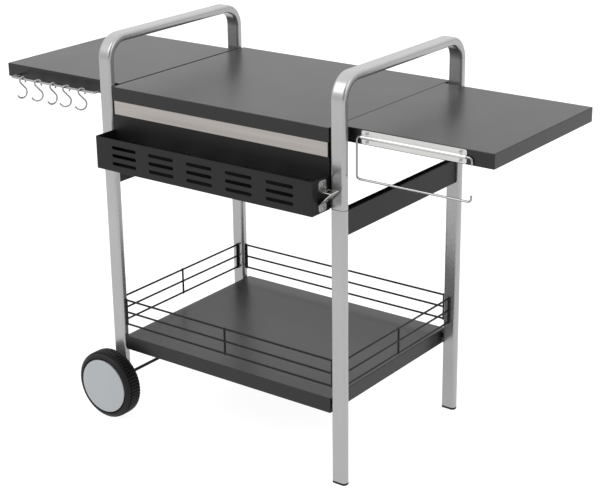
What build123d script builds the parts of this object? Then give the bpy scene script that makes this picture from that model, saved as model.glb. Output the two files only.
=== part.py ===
from build123d import *
import math
import os

# Barbecue table on two hoop frames, with fixed side wings, a slotted spice rack and a shelf.
# Frame: +X to the right along the table, -Y to the front, +Z up.
# Origin on the floor below the middle of the table. Millimetres.

# Overall sizes
work_height = 850.0  # floor to the working surface
handle_rise = 118.0  # working surface to the top of the push handles
table_length = 1400.0  # over both wings
leg_pitch_x = 672.0  # between leg centre lines, left to right
leg_pitch_y = 480.0  # between leg centre lines, front to back

# Side frame tube
tube_width = 38.0
tube_depth = 20.0
tube_corner = 7.5
tube_wall = 1.5
least_corner = 0.5  # inner corner of a thick-walled tube
handle_bend = 50.0  # bend radius of the hoop's centre line
seam_drop = 181.0  # working surface down to the joint between hoop and lower leg
seam_gap = 0.6
seam_chamfer = 0.5
spigot_length = 100.0
spigot_wall = 1.5
spigot_clearance = 0.2

# Side rails between the lower legs
rail_height = 60.0
rail_thickness = 20.0
rail_corner = 3.0
rail_wall = 1.5
rail_drop = 4.0  # seam to the rail's upper edge
rail_plug_length = 22.0
rail_plug_wall = 2.0
rail_plug_clearance = 0.2

# Folded sheet tops
sheet = 1.2
fold_radius = 1.8
top_rim = 33.0
main_setback = 1.0  # main top's front edge behind the legs' front faces
main_end_gap = 3.0  # main top to the legs
wing_side_gap = 13.0  # wing to the legs, bridged by spacers
left_wing_gap = 4.4  # left wing to the main top
right_wing_gap = 0.4
stiffener_width = 40.0
stiffener_depth = 18.0
stiffener_flange = 14.0
stiffener_end_gap = 12.0
main_stiffener_x = 110.0

# Aprons under the main top
apron_height = 182.0
apron_sheet = 1.5
apron_flange = 24.0
apron_rim_clearance = 1.0  # apron web behind the rim's inner face
apron_end_clearance = 0.8  # apron end inside the main top's end rim
apron_tab_reach = 34.0  # tab behind the leg's inner face
apron_tab_drop = 1.0  # tab's upper edge below the rim
apron_tab_rise = 30.0  # tab's lower edge above the seam
apron_bolt_drop = 31.0  # upper bolt below the tab's upper edge
apron_bolt_rise = 6.0  # lower bolt above the spigot
stud_pitch = 200.0
stud_radius = 2.5
stud_length = 10.0
hole_clearance = 0.3

# Stainless fascia strip
fascia_sheet = 0.8
fascia_drop = 33.0  # shown below the rim
fascia_tuck = 20.0  # tucked up behind the rim
fascia_end_gap = 2.0

# Fasteners
bolt_radius = 3.0
bolt_head_radius = 5.0
bolt_head_height = 4.0
bolt_grip = 8.0  # thread past the leg's wall
insert_radius = 4.6
insert_length = 7.0
insert_seat = 0.45  # insert inside the rounded narrow face of the leg
thread_clearance = 0.05
spacer_radius = 6.4
screw_radius = 2.0
screw_head_radius = 3.6
screw_head_height = 1.9
screw_grip = 5.0  # thread past the sheet
nut_radius = 5.2
nut_height = 4.0
wing_bolt_pitch = 13.5
seam_screw_rise = 17.0
rail_screw_inset = 11.0

# Spice rack
rack_depth = 65.2
rack_drop = 184.0  # working surface down to the rack's floor
rack_front_height = 79.0
rack_end_gap = 2.0
rack_sheet = 1.2
rack_top_gap = 0.3  # back wall below the fascia
slot_columns = 5
slot_rows = 3
slot_length = 75.0
slot_height = 8.5
slot_pitch_x = 113.5
slot_pitch_z = 19.3
rack_screw_pitch = 170.0
rack_screw_count = 4

# Bottle opener
opener_sheet = 1.5
opener_width = 28.0
opener_reach = 34.0
opener_tab = 23.0
opener_foot = 17.0
opener_slope = 31.0  # height of the sloping stay
opener_window_width = 16.0
opener_window_length = 10.0
opener_slot_length = 18.0
opener_slot_width = 8.0
opener_top_drop = 4.0
opener_front_inset = 22.0
opener_end_radius = 8.0

# Paper roll holder
plate_height = 30.0
plate_sheet = 1.2
plate_corner = 4.0
plate_offset = 23.0  # leg to the plate's left end
plate_end_gap = 64.0  # wing's end to the plate's right end
rod_radius = 2.5
rod_clearance = 0.3
rod_drop = 94.5
rod_lead = 11.0  # rod bend past the plate's left end
rod_lead_right = 14.0
rod_bend = 8.0
rod_upturn = 14.0
rod_short_end = 15.5
plate_screw_inset = 14.0
plate_screw_rise = 9.4

# Hook rail and hooks
hook_rail_radius = 2.5
hook_rail_offset = 14.0  # leg to the rail's near arm
hook_rail_end_gap = 47.0  # wing's end to the rail's far arm
hook_rail_standoff = 36.0
hook_rail_drop = 22.5
hook_rail_bend = 8.0
hook_rail_thread = 9.0
hook_wire = 2.1
hook_top_radius = 8.4
hook_bottom_radius = 14.0
hook_height = 56.0
hook_lower_shift = -4.18  # puts the hook's weight under the rail
hook_seat = 0.3
hook_tip_angle = -42.0
hook_point_angle = -158.0
hook_shares = (0.145, 0.334, 0.513, 0.673, 0.855)  # each hook's place along the rail, from its far arm
hook_turns = (80.0, 52.0, 80.0, 50.0, 50.0)  # each hook's plane from the rail, in degrees

# Lower shelf and its railings
shelf_height = 212.0
shelf_rim = 36.0
shelf_end_gap = 3.0
shelf_setback = 1.0
shelf_stiffener_y = 95.0
wire_radius = 2.5
wire_rise = 28.0  # shelf to the lowest wire
wire_pitch = 32.0
wire_count = 3
wire_entry = 6.0  # wire inside the leg
wire_clearance = 0.2
end_upright_radius = 3.0
upright_inset = 3.4
upright_overhang = 3.0

# Wheels and axle
wheel_radius = 87.0
axle_radius = 4.0
axle_offset = 7.0  # axle outside the leg's centre line
axle_end = 55.5  # past the leg's outer face
leg_below_axle = 23.0
bush_radius = 6.0
bush_flange_radius = 9.0
bush_flange = 2.0
washer_thickness = 2.0
running_gap = 0.3
bearing_clearance = 0.06
hub_end = 48.0
hub_radius = 14.0
hub_web = 5.0
hub_rib_count = 6
hub_rib = 4.0
rim_radius = 64.0
rim_wall = 4.0
tyre_inner = 10.0  # tyre's inner side past the leg's face
tyre_outer = 58.0
tyre_shoulder = 12.0
tread_groove_width = 3.0
tread_groove_depth = 2.0
tread_groove_count = 4
tread_groove_pitch = 8.0
cap_radius = 69.0
cap_sheet = 2.5
cap_edge = 59.5
cap_crown = 62.0
cap_skirt = 8.0
cap_clearance = 0.2
cap_recess = 2.0
cap_groove = 1.0  # round the cap's edge
push_nut_radius = 8.0
push_nut_height = 3.5

# Feet
foot_height = 5.5
foot_plug = 22.0
foot_wall = 2.0
plug_flange = 3.0
plug_height = 9.0

os.makedirs("parts", exist_ok=True)

LEFT, RIGHT = -1, 1
FRONT, BACK = -1, 1
SIDES = {"left": LEFT, "right": RIGHT}
ENDS = {"front": FRONT, "back": BACK}
UP = (0, 0, 1)

# Places that several pieces share
handle_height = work_height + handle_rise
seam_height = work_height - seam_drop
rack_floor_height = work_height - rack_drop
leg_x = leg_pitch_x / 2
leg_y = leg_pitch_y / 2
leg_in_x = leg_x - tube_width / 2
leg_out_x = leg_x + tube_width / 2
leg_in_y = leg_y - tube_depth / 2
leg_out_y = leg_y + tube_depth / 2
rim_low = work_height - top_rim
top_under = work_height - sheet
main_x = leg_in_x - main_end_gap
main_y = leg_out_y - main_setback
wing_in_x = {LEFT: main_x + left_wing_gap, RIGHT: main_x + right_wing_gap}
wing_out_x = table_length / 2
wing_y = leg_in_y - wing_side_gap
rail_top = seam_height - rail_drop
rail_low = rail_top - rail_height
apron_x = main_x - sheet - apron_end_clearance
apron_y = main_y - sheet - apron_rim_clearance
apron_low = top_under - apron_height
apron_tab_top = rim_low - apron_tab_drop
apron_tab_low = seam_height + apron_tab_rise
fascia_low = rim_low - fascia_drop
shelf_x = leg_in_x - shelf_end_gap
shelf_y = leg_out_y - shelf_setback
axle_x = -leg_x - axle_offset
hub_start = bush_flange + washer_thickness + running_gap
rim_in = rim_radius - rim_wall
rack_x = leg_in_x - rack_end_gap
rack_front_y = apron_y + rack_depth
plate_left = leg_out_x + plate_offset
plate_right = wing_out_x - plate_end_gap
plate_length = plate_right - plate_left
hook_rail_near = -leg_out_x - hook_rail_offset
hook_rail_far = hook_rail_end_gap - wing_out_x


def keep(piece: BuildPart, name: str) -> None:
    """Label a finished piece and write it to its own file."""
    piece.part.label = name
    export_step(piece.part, f"parts/{name}.step")


def seats(points: list, direction: tuple) -> list:
    """Planes at the points, facing along the direction."""
    return [Plane(origin=point, z_dir=direction) for point in points]


def tube_outline(width: float, depth: float, corner: float, wall: float) -> None:
    """Draw a rounded tube section in the current sketch."""
    RectangleRounded(width, depth, corner)
    inner = max(corner - wall, least_corner)
    RectangleRounded(width - 2 * wall, depth - 2 * wall, inner, mode=Mode.SUBTRACT)


def add_bolts(points: list, direction: tuple, head: tuple, shank: tuple) -> None:
    """Add bolts whose heads stand on the points and whose shanks go the other way."""
    head_radius, head_height = head
    shank_radius, length = shank
    with Locations(*seats(points, direction)):
        Cylinder(head_radius, head_height, align=(Align.CENTER, Align.CENTER, Align.MIN))
        Cylinder(shank_radius, length, align=(Align.CENTER, Align.CENTER, Align.MAX))


def add_rings(points: list, direction: tuple, outer: float, inner: float, height: float) -> None:
    """Add rings that stand on the points."""
    for seat in seats(points, direction):
        with BuildSketch(seat) as ring:
            Circle(outer)
            Circle(inner, mode=Mode.SUBTRACT)
        extrude(ring.sketch, amount=height)


def drill(points: list, direction: tuple, radius: float, depth: float) -> None:
    """Cut round holes that start at the points and go against the direction."""
    with Locations(*seats(points, direction)):
        Hole(radius, depth)


# Fastener places, shared by the bolts, the spacers, the inserts and the holes


def wing_bolt_points(side: int, end: int, y: float) -> list:
    """Bolts between a wing's rim and a leg, at the given depth."""
    z = rim_low + top_rim / 2
    return [(side * (leg_x + step * wing_bolt_pitch / 2), end * y, z) for step in (-1, 1)]


def apron_bolt_points(side: int, end: int, y: float) -> list:
    """Bolts between an apron's tab and a leg, at the given depth."""
    lower = seam_height + spigot_length / 2 + apron_bolt_rise
    upper = apron_tab_top - apron_bolt_drop
    return [(side * leg_x, end * y, z) for z in (lower, upper)]


def shelf_bolt_point(side: int, end: int, x: float) -> tuple:
    """The bolt between the shelf's rim and a leg, at the given distance from the middle."""
    return (side * x, end * leg_y, shelf_height - shelf_rim / 2)


def seam_screw_point(side: int, end: int, y: float) -> tuple:
    """The screw that keeps a hoop on its spigot."""
    return (side * leg_x, end * y, seam_height + seam_screw_rise)


def rail_screw_point(side: int, end: int, z: float) -> tuple:
    """The screw that keeps a side rail on its plug, at the given height."""
    return (side * leg_x, end * (leg_in_y - rail_screw_inset), z)


def wire_heights() -> list:
    """Heights of the railing wires."""
    return [shelf_height + wire_rise + row * wire_pitch for row in range(wire_count)]


def stud_points(z: float) -> list:
    """Weld studs under the main top, in both apron flanges."""
    y = apron_y - apron_sheet - (apron_flange - apron_sheet) / 2
    return [(column * stud_pitch, end * y, z) for end in ENDS.values() for column in (-1, 0, 1)]


# Side frames: a bent hoop on two lower legs, with a dark rail between the legs


def build_hoop(side: int) -> BuildPart:
    """The bent handle tube of one side frame."""
    crown = handle_height - tube_depth / 2
    foot = seam_height + seam_gap / 2
    with BuildPart() as hoop:
        with BuildLine(Plane.YZ.offset(side * leg_x)) as route:
            corners = [(-leg_y, foot), (-leg_y, crown), (leg_y, crown), (leg_y, foot)]
            FilletPolyline(*corners, radius=handle_bend)
        with BuildSketch(Plane((side * leg_x, -leg_y, foot))) as section:
            tube_outline(tube_width, tube_depth, tube_corner, tube_wall)
        sweep(section.sketch, path=route.wire())
        for tube_end in hoop.faces().filter_by(Axis.Z).group_by(Axis.Z)[0]:
            chamfer(tube_end.outer_wire().edges(), seam_chamfer)
        for end in ENDS.values():
            bolts = wing_bolt_points(side, end, leg_in_y) + apron_bolt_points(side, end, leg_in_y)
            drill(bolts, (0, -end, 0), bolt_radius + hole_clearance, 2 * tube_wall)
            screw = seam_screw_point(side, end, leg_in_y)
            drill([screw], (0, -end, 0), screw_radius + hole_clearance, 2 * tube_wall)
    return hoop


def build_leg(side: int, end: int) -> BuildPart:
    """One lower leg, with holes for the shelf bolt, the railing wires and the axle."""
    low = foot_height if side == RIGHT else wheel_radius - leg_below_axle
    with BuildPart() as leg:
        with BuildSketch(Plane((side * leg_x, end * leg_y, low))):
            tube_outline(tube_width, tube_depth, tube_corner, tube_wall)
        extrude(amount=seam_height - seam_gap / 2 - low)
        tube_end = leg.faces().sort_by(Axis.Z)[-1]
        chamfer(tube_end.outer_wire().edges(), seam_chamfer)
        wire_hole = wire_radius + wire_clearance
        across = [(side * leg_in_x, end * leg_y, z) for z in wire_heights()]
        drill(across, (-side, 0, 0), wire_hole, 2 * tube_wall)
        along = [(side * leg_x, end * leg_in_y, z) for z in wire_heights()]
        drill(along, (0, -end, 0), wire_hole, 2 * tube_wall)
        shelf_bolt = shelf_bolt_point(side, end, leg_in_x)
        drill([shelf_bolt], (-side, 0, 0), bolt_radius + hole_clearance, 2 * tube_wall)
        if side == LEFT:
            bush_hole = bush_radius + hole_clearance
            drill([(axle_x, end * leg_out_y, wheel_radius)], (0, end, 0), bush_hole, tube_depth)
    return leg


def build_side_rail(side: int) -> BuildPart:
    """The dark tube between the lower legs of one side frame."""
    with BuildPart() as rail:
        with BuildSketch(Plane.XZ.offset(-leg_in_y)):
            with Locations((side * leg_x, rail_low + rail_height / 2)):
                RectangleRounded(rail_thickness, rail_height, rail_corner)
                inner = (rail_thickness - 2 * rail_wall, rail_height - 2 * rail_wall)
                RectangleRounded(*inner, max(rail_corner - rail_wall, least_corner), mode=Mode.SUBTRACT)
        extrude(amount=2 * leg_in_y)
        points = [rail_screw_point(side, end, rail_low) for end in ENDS.values()]
        drill(points, (0, 0, -1), screw_radius + hole_clearance, 2 * rail_wall)
    return rail


for side_name, side in SIDES.items():
    keep(build_hoop(side), f"{side_name}_hoop")
    keep(build_side_rail(side), f"{side_name}_side_rail")
    for end_name, end in ENDS.items():
        keep(build_leg(side, end), f"{end_name}_{side_name}_leg")

# Spigots inside the seams
with BuildPart() as leg_spigots:
    for side in SIDES.values():
        for end in ENDS.values():
            foot = (side * leg_x, end * leg_y, seam_height - spigot_length / 2)
            with BuildSketch(Plane(foot)) as section:
                inside = tube_wall + spigot_clearance
                corner = max(tube_corner - inside, least_corner)
                tube_outline(tube_width - 2 * inside, tube_depth - 2 * inside, corner, spigot_wall)
            extrude(section.sketch, amount=spigot_length)
            point = seam_screw_point(side, end, leg_in_y + inside)
            drill([point], (0, -end, 0), screw_radius + hole_clearance, 2 * spigot_wall)
keep(leg_spigots, "leg_spigots")

# Plugs on the legs that the side rails slip over
with BuildPart() as rail_plugs:
    for side in SIDES.values():
        for end in ENDS.values():
            middle = (side * leg_x, end * leg_in_y, rail_low + rail_height / 2)
            with BuildSketch(Plane(middle, UP, (0, -end, 0))) as section:
                inside = rail_wall + rail_plug_clearance
                size = (rail_height - 2 * inside, rail_thickness - 2 * inside)
                corner = max(rail_corner - rail_wall, least_corner)
                tube_outline(*size, corner, rail_plug_wall)
            extrude(section.sketch, amount=rail_plug_length)
            point = rail_screw_point(side, end, rail_low + inside)
            drill([point], (0, 0, -1), screw_radius + hole_clearance, 2 * rail_plug_wall)
keep(rail_plugs, "rail_plugs")

screw_head = (screw_head_radius, screw_head_height)
with BuildPart() as frame_screws:
    for side in SIDES.values():
        for end in ENDS.values():
            seam_length = tube_wall + spigot_clearance + spigot_wall + screw_grip
            point = seam_screw_point(side, end, leg_in_y)
            add_bolts([point], (0, -end, 0), screw_head, (screw_radius, seam_length))
            rail_length = rail_wall + rail_plug_clearance + rail_plug_wall + screw_grip
            point = rail_screw_point(side, end, rail_low)
            add_bolts([point], (0, 0, -1), screw_head, (screw_radius, rail_length))
keep(frame_screws, "frame_screws")


# Moulded caps and plugs in the open ends of the legs
def add_end_cap(side: int, end: int, top: float, flange: float, plug: float) -> None:
    """Add a moulded cap: a flange below the tube's end and a hollow plug inside it."""
    inside = tube_wall + spigot_clearance
    corner = max(tube_corner - inside, least_corner)
    with BuildSketch(Plane((side * leg_x, end * leg_y, top - flange))) as outline:
        RectangleRounded(tube_width, tube_depth, tube_corner)
    extrude(outline.sketch, amount=flange)
    with BuildSketch(Plane((side * leg_x, end * leg_y, top))) as section:
        tube_outline(tube_width - 2 * inside, tube_depth - 2 * inside, corner, foot_wall)
    extrude(section.sketch, amount=plug)


for end_name, end in ENDS.items():
    with BuildPart() as foot_cap:
        add_end_cap(RIGHT, end, foot_height, foot_height, foot_plug)
    keep(foot_cap, f"{end_name}_foot_cap")

with BuildPart() as leg_plugs:
    for end in ENDS.values():
        add_end_cap(LEFT, end, wheel_radius - leg_below_axle, plug_flange, plug_height)
keep(leg_plugs, "leg_plugs")


# Folded sheet tops and the shelf


def build_tray(low: tuple, high: tuple) -> BuildPart:
    """A folded sheet tray, open below, between two corners."""
    size = [high[axis] - low[axis] for axis in range(3)]
    middle = [(high[axis] + low[axis]) / 2 for axis in range(3)]
    with BuildPart() as tray:
        with Locations(tuple(middle)):
            Box(*size)
        folds = tray.edges().filter_by(Axis.Z) + tray.faces().sort_by(Axis.Z)[-1].edges()
        fillet(folds, fold_radius)
        with Locations((middle[0], middle[1], middle[2] - sheet)):
            Box(size[0] - 2 * sheet, size[1] - 2 * sheet, size[2], mode=Mode.SUBTRACT)
    return tray


def drilled_tray(tray: BuildPart, cuts: list) -> BuildPart:
    """The tray with holes through its rims."""
    with BuildPart() as drilled:
        add(tray.part)
        for points, direction, radius in cuts:
            drill(points, direction, radius, 2 * sheet)
    return drilled


with BuildPart() as main_top:
    add(build_tray((-main_x, -main_y, rim_low), (main_x, main_y, work_height)).part)
    with Locations(*stud_points(top_under)):
        Cylinder(stud_radius, stud_length, align=(Align.CENTER, Align.CENTER, Align.MAX))
keep(main_top, "main_top")


def hook_rail_ends(y: float) -> list:
    """Where the hook rail's two arms cross the given depth, near arm first."""
    return [(x, y, work_height - hook_rail_drop) for x in (hook_rail_near, hook_rail_far)]


def plate_screw_points(y: float) -> list:
    """The four screws of the roll holder's plate."""
    columns = (plate_left + plate_screw_inset, plate_right - plate_screw_inset)
    middle = rim_low + top_rim / 2
    return [(x, y, middle + row * plate_screw_rise) for x in columns for row in (-1, 1)]


for side_name, side in SIDES.items():
    ends_x = sorted((side * wing_in_x[side], side * wing_out_x))
    wing = build_tray((ends_x[0], -wing_y, rim_low), (ends_x[1], wing_y, work_height))
    bolt_hole = bolt_radius + hole_clearance
    cuts = [(wing_bolt_points(side, end, wing_y), (0, end, 0), bolt_hole) for end in ENDS.values()]
    if side == LEFT:
        cuts.append((hook_rail_ends(-wing_y), (0, FRONT, 0), hook_rail_radius + hole_clearance))
    else:
        cuts.append((plate_screw_points(-wing_y), (0, FRONT, 0), screw_radius + hole_clearance))
    keep(drilled_tray(wing, cuts), f"{side_name}_wing")

shelf = build_tray((-shelf_x, -shelf_y, shelf_height - shelf_rim), (shelf_x, shelf_y, shelf_height))
shelf_cuts = []
for side in SIDES.values():
    points = [shelf_bolt_point(side, end, shelf_x) for end in ENDS.values()]
    shelf_cuts.append((points, (side, 0, 0), bolt_radius + hole_clearance))
keep(drilled_tray(shelf, shelf_cuts), "bottom_shelf")


def stiffener_section() -> None:
    """Draw a hat channel that hangs from the sketch's origin."""
    with Locations((0, -stiffener_depth / 2)):
        Rectangle(stiffener_width, stiffener_depth)
    with Locations((0, -stiffener_depth / 2 + sheet / 2)):
        Rectangle(stiffener_width - 2 * sheet, stiffener_depth - sheet, mode=Mode.SUBTRACT)
    reach = (stiffener_width + stiffener_flange) / 2 - sheet / 2
    with Locations((-reach, -sheet / 2), (reach, -sheet / 2)):
        Rectangle(stiffener_flange, sheet)


with BuildPart() as main_stiffeners:
    reach = apron_y - apron_flange - stiffener_end_gap
    for column in (-1, 1):
        with BuildSketch(Plane.XZ.offset(-reach)) as section:
            with Locations((column * main_stiffener_x, top_under)):
                stiffener_section()
        extrude(section.sketch, amount=2 * reach)
keep(main_stiffeners, "main_top_stiffeners")

with BuildPart() as wing_stiffeners:
    for side in SIDES.values():
        start = min(side * wing_in_x[side], side * wing_out_x) + sheet + stiffener_end_gap
        length = wing_out_x - wing_in_x[side] - 2 * (sheet + stiffener_end_gap)
        with BuildSketch(Plane.YZ.offset(start)) as section:
            with Locations((0, top_under)):
                stiffener_section()
        extrude(section.sketch, amount=length)
keep(wing_stiffeners, "wing_stiffeners")

with BuildPart() as shelf_stiffeners:
    reach = shelf_x - sheet - stiffener_end_gap
    for row in (-1, 1):
        with BuildSketch(Plane.YZ.offset(-reach)) as section:
            with Locations((row * shelf_stiffener_y, shelf_height - sheet)):
                stiffener_section()
        extrude(section.sketch, amount=2 * reach)
keep(shelf_stiffeners, "shelf_stiffeners")


# Aprons: a web under the main top, a flange on the studs, and tabs on the legs
def rack_screw_points(y: float) -> list:
    """The screws that hang the spice rack on the front apron."""
    z = (apron_low + fascia_low) / 2
    middle = (rack_screw_count - 1) / 2
    return [((column - middle) * rack_screw_pitch, y, z) for column in range(rack_screw_count)]


def build_apron(end: int) -> BuildPart:
    """A folded apron that joins the two side frames at one long side."""
    web_y = apron_y - apron_sheet / 2
    tab_y = leg_in_y - apron_sheet / 2
    tab_z = (apron_tab_low + apron_tab_top) / 2
    tab_height = apron_tab_top - apron_tab_low
    jog_low = min(apron_low, apron_tab_low)
    jog_z = (jog_low + apron_tab_top) / 2
    with BuildPart() as apron:
        with Locations((0, end * web_y, apron_low + apron_height / 2)):
            Box(2 * apron_x, apron_sheet, apron_height)
        with Locations((0, end * (apron_y - apron_flange / 2), top_under - apron_sheet / 2)):
            Box(2 * apron_x, apron_flange, apron_sheet)
        with Locations((0, end * (apron_y - apron_flange / 2), apron_low + apron_sheet / 2)):
            Box(2 * apron_x, apron_flange, apron_sheet)
        for side in SIDES.values():
            jog = sorted((apron_y, leg_in_y - apron_sheet))
            jog_x = apron_x - apron_sheet / 2
            with Locations((side * jog_x, end * sum(jog) / 2, jog_z)):
                Box(apron_sheet, jog[1] - jog[0], apron_tab_top - jog_low)
            reach = leg_in_x - apron_x + apron_tab_reach
            tab_x = apron_x - apron_sheet + reach / 2
            with Locations((side * tab_x, end * tab_y, tab_z)):
                Box(reach, apron_sheet, tab_height)
            points = apron_bolt_points(side, end, leg_in_y - apron_sheet)
            drill(points, (0, -end, 0), bolt_radius + hole_clearance, 2 * apron_sheet)
        drill(stud_points(top_under), UP, stud_radius + hole_clearance, 2 * apron_sheet)
        if end == FRONT:
            points = rack_screw_points(-apron_y)
            drill(points, (0, FRONT, 0), screw_radius + hole_clearance, 2 * apron_sheet)
    return apron


for end_name, end in ENDS.items():
    keep(build_apron(end), f"{end_name}_apron")

with BuildPart() as top_nuts:
    for seat in seats(stud_points(top_under - apron_sheet), (0, 0, -1)):
        with BuildSketch(seat) as section:
            RegularPolygon(nut_radius, 6)
            Circle(stud_radius + thread_clearance, mode=Mode.SUBTRACT)
        extrude(section.sketch, amount=nut_height)
keep(top_nuts, "main_top_nuts")

# Stainless strip, its upper edge tucked behind the main top's rim
with BuildPart() as fascia:
    with Locations((0, -(apron_y + fascia_sheet / 2), (fascia_low + rim_low + fascia_tuck) / 2)):
        Box(2 * (apron_x - fascia_end_gap), fascia_sheet, fascia_drop + fascia_tuck)
keep(fascia, "front_fascia")

# Bolts through the wings, the aprons and the shelf into rivet nuts in the legs
with BuildPart() as wing_spacers:
    for side in SIDES.values():
        for end in ENDS.values():
            points = wing_bolt_points(side, end, wing_y)
            add_rings(points, (0, end, 0), spacer_radius, bolt_radius + hole_clearance, wing_side_gap)
keep(wing_spacers, "wing_spacers")

bolt_head = (bolt_head_radius, bolt_head_height)
with BuildPart() as wing_bolts:
    for side in SIDES.values():
        for end in ENDS.values():
            length = sheet + wing_side_gap + tube_wall + bolt_grip
            points = wing_bolt_points(side, end, wing_y - sheet)
            add_bolts(points, (0, -end, 0), bolt_head, (bolt_radius, length))
keep(wing_bolts, "wing_bolts")

with BuildPart() as apron_bolts:
    for side in SIDES.values():
        for end in ENDS.values():
            length = apron_sheet + tube_wall + bolt_grip
            points = apron_bolt_points(side, end, leg_in_y - apron_sheet)
            add_bolts(points, (0, -end, 0), bolt_head, (bolt_radius, length))
keep(apron_bolts, "apron_bolts")

with BuildPart() as shelf_bolts:
    for side in SIDES.values():
        points = [shelf_bolt_point(side, end, shelf_x - sheet) for end in ENDS.values()]
        length = sheet + shelf_end_gap + tube_wall + bolt_grip
        add_bolts(points, (-side, 0, 0), bolt_head, (bolt_radius, length))
keep(shelf_bolts, "shelf_bolts")

with BuildPart() as shelf_washers:
    for side in SIDES.values():
        points = [shelf_bolt_point(side, end, shelf_x) for end in ENDS.values()]
        add_rings(points, (side, 0, 0), spacer_radius, bolt_radius + hole_clearance, shelf_end_gap)
keep(shelf_washers, "shelf_washers")

with BuildPart() as rivet_nuts:
    thread = bolt_radius + thread_clearance
    for side in SIDES.values():
        for end in ENDS.values():
            y = leg_in_y + tube_wall
            points = wing_bolt_points(side, end, y) + apron_bolt_points(side, end, y)
            add_rings(points, (0, end, 0), insert_radius, thread, insert_length)
            point = shelf_bolt_point(side, end, leg_in_x + tube_wall + insert_seat)
            add_rings([point], (side, 0, 0), insert_radius, thread, insert_length)
keep(rivet_nuts, "rivet_nuts")

# Spice rack: an open folded box with slots in its front, hung on the front apron
rack_back_top = fascia_low - rack_top_gap
rack_front_top = rack_floor_height + rack_front_height


def opener_screw_points(x: float) -> list:
    """The opener's two screws, upper first."""
    top = rack_front_top - opener_top_drop
    low = top - opener_tab - opener_slope - opener_foot
    y = -(rack_front_y - opener_front_inset - opener_width / 2)
    return [(x, y, top - opener_tab / 2 + opener_sheet), (x, y, low + opener_foot / 2)]


with BuildPart() as rack_shell:
    with BuildSketch(Plane.XY.offset(rack_floor_height)):
        with Locations((0, -(apron_y + rack_depth / 2))):
            Rectangle(2 * rack_x, rack_depth)
    extrude(amount=rack_front_height)
    fillet(rack_shell.edges().filter_by(Axis.Z).group_by(Axis.Y)[0], fold_radius)
    fillet(rack_shell.faces().sort_by(Axis.Z)[0].edges(), fold_radius)
    with Locations((0, -(apron_y + rack_depth / 2), rack_floor_height + rack_sheet)):
        inside = (2 * (rack_x - rack_sheet), rack_depth - 2 * rack_sheet, rack_front_height)
        Box(*inside, align=(Align.CENTER, Align.CENTER, Align.MIN), mode=Mode.SUBTRACT)
    back_rise = rack_back_top - rack_floor_height - rack_front_height
    with Locations((0, -(apron_y + rack_sheet / 2), rack_floor_height + rack_front_height)):
        Box(2 * rack_x, rack_sheet, back_rise, align=(Align.CENTER, Align.CENTER, Align.MIN))
    with BuildSketch(Plane.XZ.offset(rack_front_y)):
        with Locations((0, rack_floor_height + rack_front_height / 2)):
            with GridLocations(slot_pitch_x, slot_pitch_z, slot_columns, slot_rows):
                SlotOverall(slot_length, slot_height)
    extrude(amount=-2 * rack_sheet, mode=Mode.SUBTRACT)
    points = rack_screw_points(-(apron_y + rack_sheet))
    drill(points, (0, FRONT, 0), screw_radius + hole_clearance, 2 * rack_sheet)
    drill(opener_screw_points(rack_x), (1, 0, 0), screw_radius + hole_clearance, 2 * rack_sheet)

# The shell comes apart into a slotted tray and two end plates that stand before its back wall
end_y = -(apron_y + (rack_sheet + rack_depth) / 2)
end_z = rack_floor_height + rack_front_height / 2
end_plate = Box(rack_sheet, rack_depth - rack_sheet, rack_front_height)
end_blocks = [Pos(side * (rack_x - rack_sheet / 2), end_y, end_z) * end_plate for side in SIDES.values()]

with BuildPart() as spice_rack:
    add(rack_shell.part)
    add(end_blocks, mode=Mode.SUBTRACT)
keep(spice_rack, "spice_rack")

with BuildPart() as rack_end_plates:
    for block in end_blocks:
        add(rack_shell.part & block)
keep(rack_end_plates, "rack_end_plates")

with BuildPart() as rack_screws:
    length = rack_sheet + apron_sheet + screw_grip
    points = rack_screw_points(-(apron_y + rack_sheet))
    add_bolts(points, (0, FRONT, 0), screw_head, (screw_radius, length))
keep(rack_screws, "rack_screws")

# Bottle opener: a bent strip with a ledge and a sloping stay, both pierced
with BuildPart() as bottle_opener:
    top = rack_front_top - opener_top_drop
    ledge = top - opener_tab
    knee = ledge - opener_slope
    low = knee - opener_foot
    tip = rack_x + opener_reach
    outer_y = rack_front_y - opener_front_inset
    middle_y = -(outer_y - opener_width / 2)
    cut = opener_sheet * math.hypot(opener_reach, opener_slope) / opener_slope
    with BuildSketch(Plane.XZ.offset(outer_y)):
        corner = (Align.MIN, Align.MIN)
        with Locations((rack_x, ledge)):
            Rectangle(opener_sheet, opener_tab, align=corner)
            Rectangle(opener_reach, opener_sheet, align=corner)
        Polygon((tip, ledge), (tip - cut, ledge), (rack_x, knee), (rack_x + cut, knee), align=None)
        with Locations((rack_x, low)):
            Rectangle(opener_sheet, opener_foot, align=corner)
    extrude(amount=-opener_width)
    ends = bottle_opener.edges().filter_by(Axis.X).group_by(Axis.Z)
    fillet(ends[0] + ends[-1], opener_end_radius)
    middle_x = (rack_x + tip) / 2
    with Locations((middle_x, middle_y, ledge + opener_sheet / 2)):
        Box(opener_window_length, opener_window_width, 2 * opener_sheet, mode=Mode.SUBTRACT)
    slope_normal = (opener_slope, 0, -opener_reach)
    with Locations(Plane((middle_x, middle_y, (ledge + knee) / 2), (0, 1, 0), slope_normal)):
        Box(opener_slot_width, opener_slot_length, 4 * opener_sheet, mode=Mode.SUBTRACT)
    points = opener_screw_points(rack_x + opener_sheet)
    drill(points, (1, 0, 0), screw_radius + hole_clearance, 2 * opener_sheet)
keep(bottle_opener, "bottle_opener")

with BuildPart() as opener_screws:
    length = opener_sheet + rack_sheet + screw_grip
    points = opener_screw_points(rack_x + opener_sheet)
    add_bolts(points, (1, 0, 0), screw_head, (screw_radius, length))
keep(opener_screws, "opener_screws")

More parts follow.
